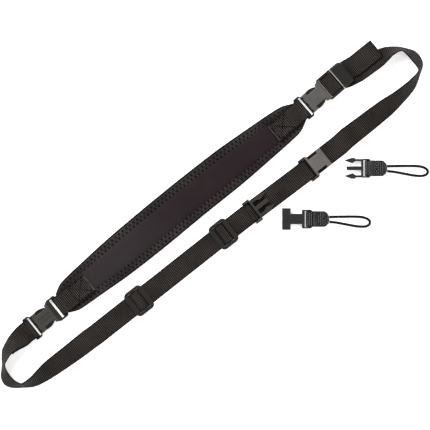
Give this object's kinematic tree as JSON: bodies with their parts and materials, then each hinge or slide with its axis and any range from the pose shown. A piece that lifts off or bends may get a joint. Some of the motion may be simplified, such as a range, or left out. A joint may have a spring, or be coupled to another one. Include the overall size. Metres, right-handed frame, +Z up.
{
  "type": "camera neck strap",
  "caption": "Webbing camera strap laid as a flat loop, with a padded neck section, side-release buckles, slides and loose cord connectors.",
  "frame": {"origin": "middle of the underside of the bounding box, on the table that the strap lies on", "axes": "+X along the loop from its lower-left tip to its upper-right tip in the picture, +Y from the front run towards the pad, +Z up from the table"},
  "size_m": [0.6568, 0.1906, 0.0253],
  "materials": {
    "webbing": "ribbed black webbing",
    "pad_cloth": "smooth dark brown-black cloth with a stitched border",
    "buckle_plastic": "satin dark grey moulded plastic",
    "slide_plastic": "satin black moulded plastic",
    "connector_plastic": "charcoal moulded plastic",
    "cord": "thin braided black cord"
  },
  "bodies": {
    "root": {"pad": "pad_cloth", "pad_tab_left": "webbing", "pad_tab_right": "webbing", "long_webbing": "webbing", "left_buckle_female": "buckle_plastic", "left_buckle_male": "buckle_plastic", "right_buckle_male": "buckle_plastic", "right_buckle_female": "buckle_plastic", "slider_male": "buckle_plastic", "slider_female": "buckle_plastic", "tri_glide_lower": "slide_plastic", "tri_glide_upper": "slide_plastic", "connector_male_buckle": "connector_plastic", "connector_female_buckle": "connector_plastic", "connector_male_tab": "webbing", "connector_female_tab": "webbing", "connector_male_cord": "cord", "connector_female_cord": "cord"}
  },
  "joints": []
}
